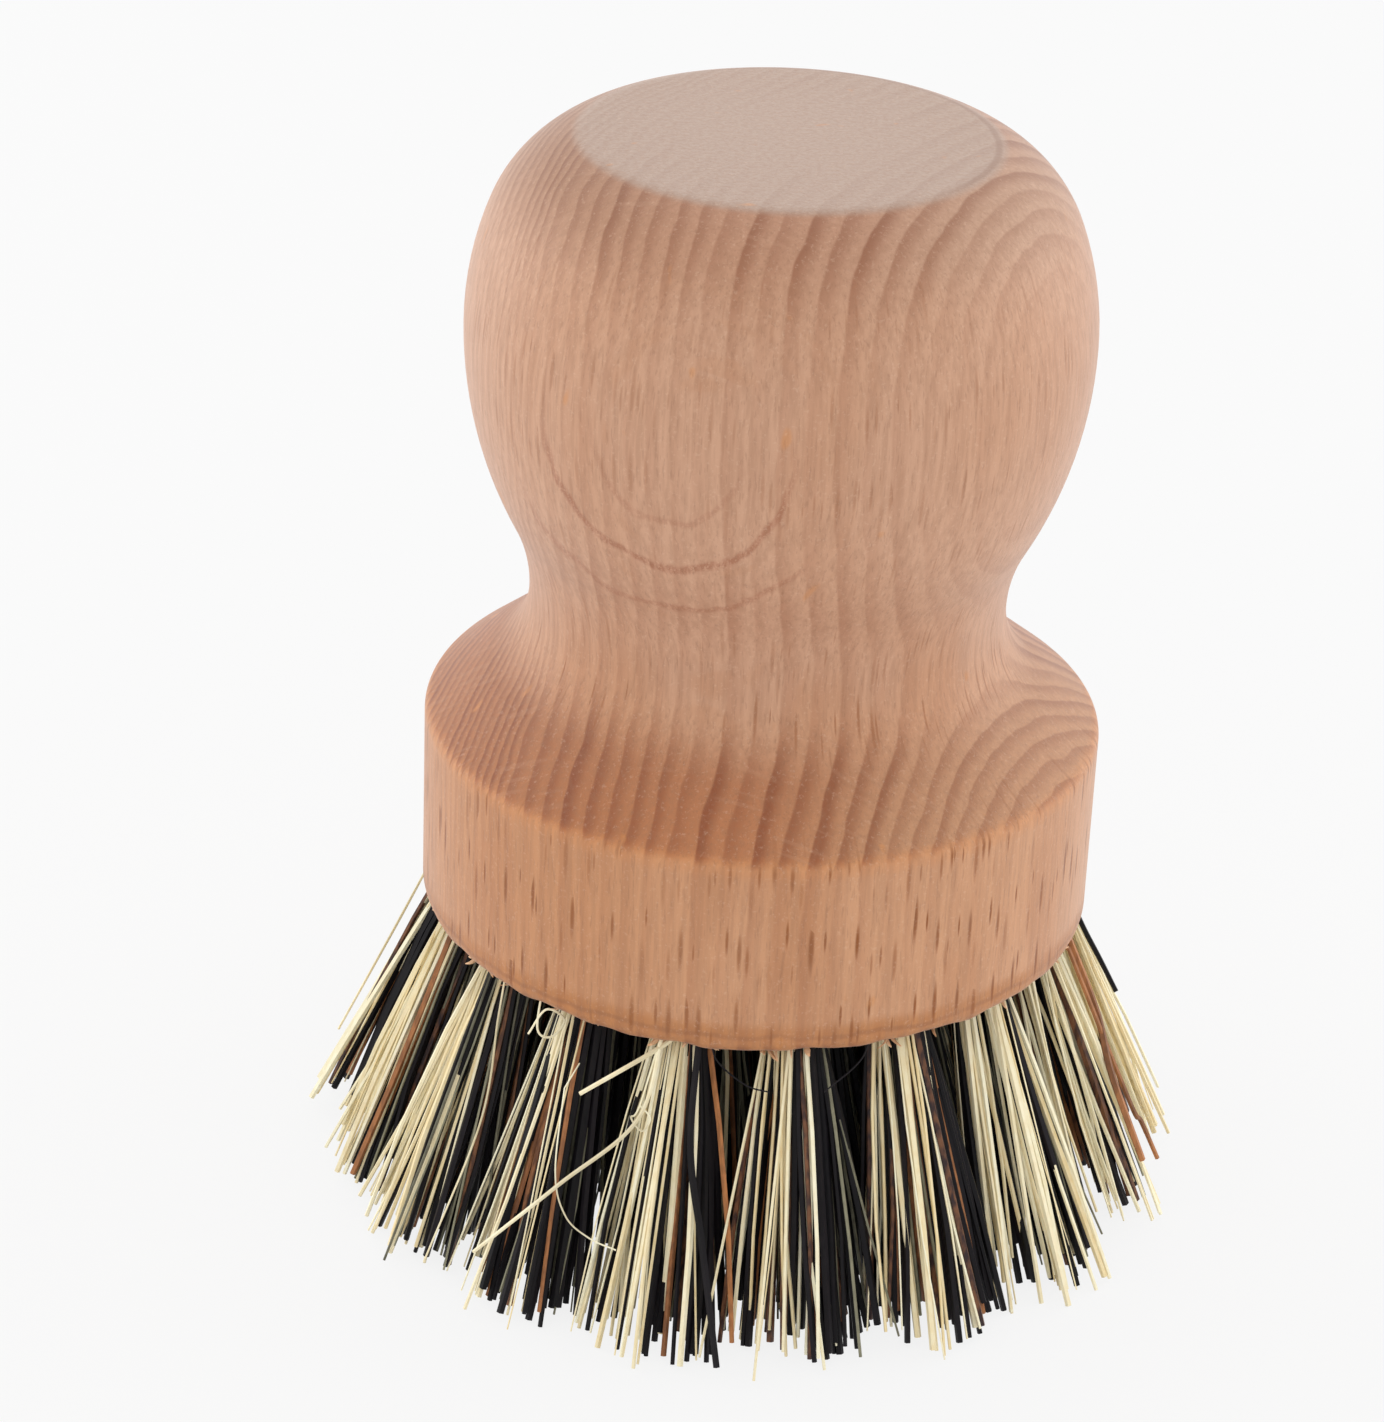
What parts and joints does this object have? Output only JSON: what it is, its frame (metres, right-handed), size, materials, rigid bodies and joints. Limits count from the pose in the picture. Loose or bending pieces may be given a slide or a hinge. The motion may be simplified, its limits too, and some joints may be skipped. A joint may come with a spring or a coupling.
{
  "type": "pot brush",
  "caption": "Short hand-held scrubbing brush with a turned beech knob handle and a flared, flat-trimmed head of stiff mixed fibre tufts.",
  "frame": {"origin": "middle of the flat plane of the trimmed bristle tips, on which the brush stands", "axes": "+Z along the handle's axis, up from the tips to the flat crown; +X and +Y lie in the tip plane"},
  "size_m": [0.0719, 0.0725, 0.09],
  "materials": {
    "beech": "sanded, unfinished",
    "mixed_fibre": "stiff plant fibre, cream, brown and black mixed",
    "anchor_wire": "flat drawn wire"
  },
  "bodies": {
    "root": {"handle": "beech", "tuft_outer_01": "mixed_fibre", "tuft_outer_02": "mixed_fibre", "tuft_outer_03": "mixed_fibre", "tuft_outer_04": "mixed_fibre", "tuft_outer_05": "mixed_fibre", "tuft_outer_06": "mixed_fibre", "tuft_outer_07": "mixed_fibre", "tuft_outer_08": "mixed_fibre", "tuft_outer_09": "mixed_fibre", "tuft_outer_10": "mixed_fibre", "tuft_outer_11": "mixed_fibre", "tuft_outer_12": "mixed_fibre", "tuft_outer_13": "mixed_fibre", "tuft_outer_14": "mixed_fibre", "tuft_outer_15": "mixed_fibre", "tuft_outer_16": "mixed_fibre", "tuft_outer_17": "mixed_fibre", "tuft_middle_01": "mixed_fibre", "tuft_middle_02": "mixed_fibre", "tuft_middle_03": "mixed_fibre", "tuft_middle_04": "mixed_fibre", "tuft_middle_05": "mixed_fibre", "tuft_middle_06": "mixed_fibre", "tuft_middle_07": "mixed_fibre", "tuft_middle_08": "mixed_fibre", "tuft_middle_09": "mixed_fibre", "tuft_middle_10": "mixed_fibre", "tuft_middle_11": "mixed_fibre", "tuft_middle_12": "mixed_fibre", "tuft_inner_01": "mixed_fibre", "tuft_inner_02": "mixed_fibre", "tuft_inner_03": "mixed_fibre", "tuft_inner_04": "mixed_fibre", "tuft_inner_05": "mixed_fibre", "tuft_inner_06": "mixed_fibre", "tuft_centre": "mixed_fibre", "anchors_outer": "anchor_wire", "anchors_middle": "anchor_wire", "anchors_inner": "anchor_wire", "anchor_centre": "anchor_wire"}
  },
  "joints": []
}
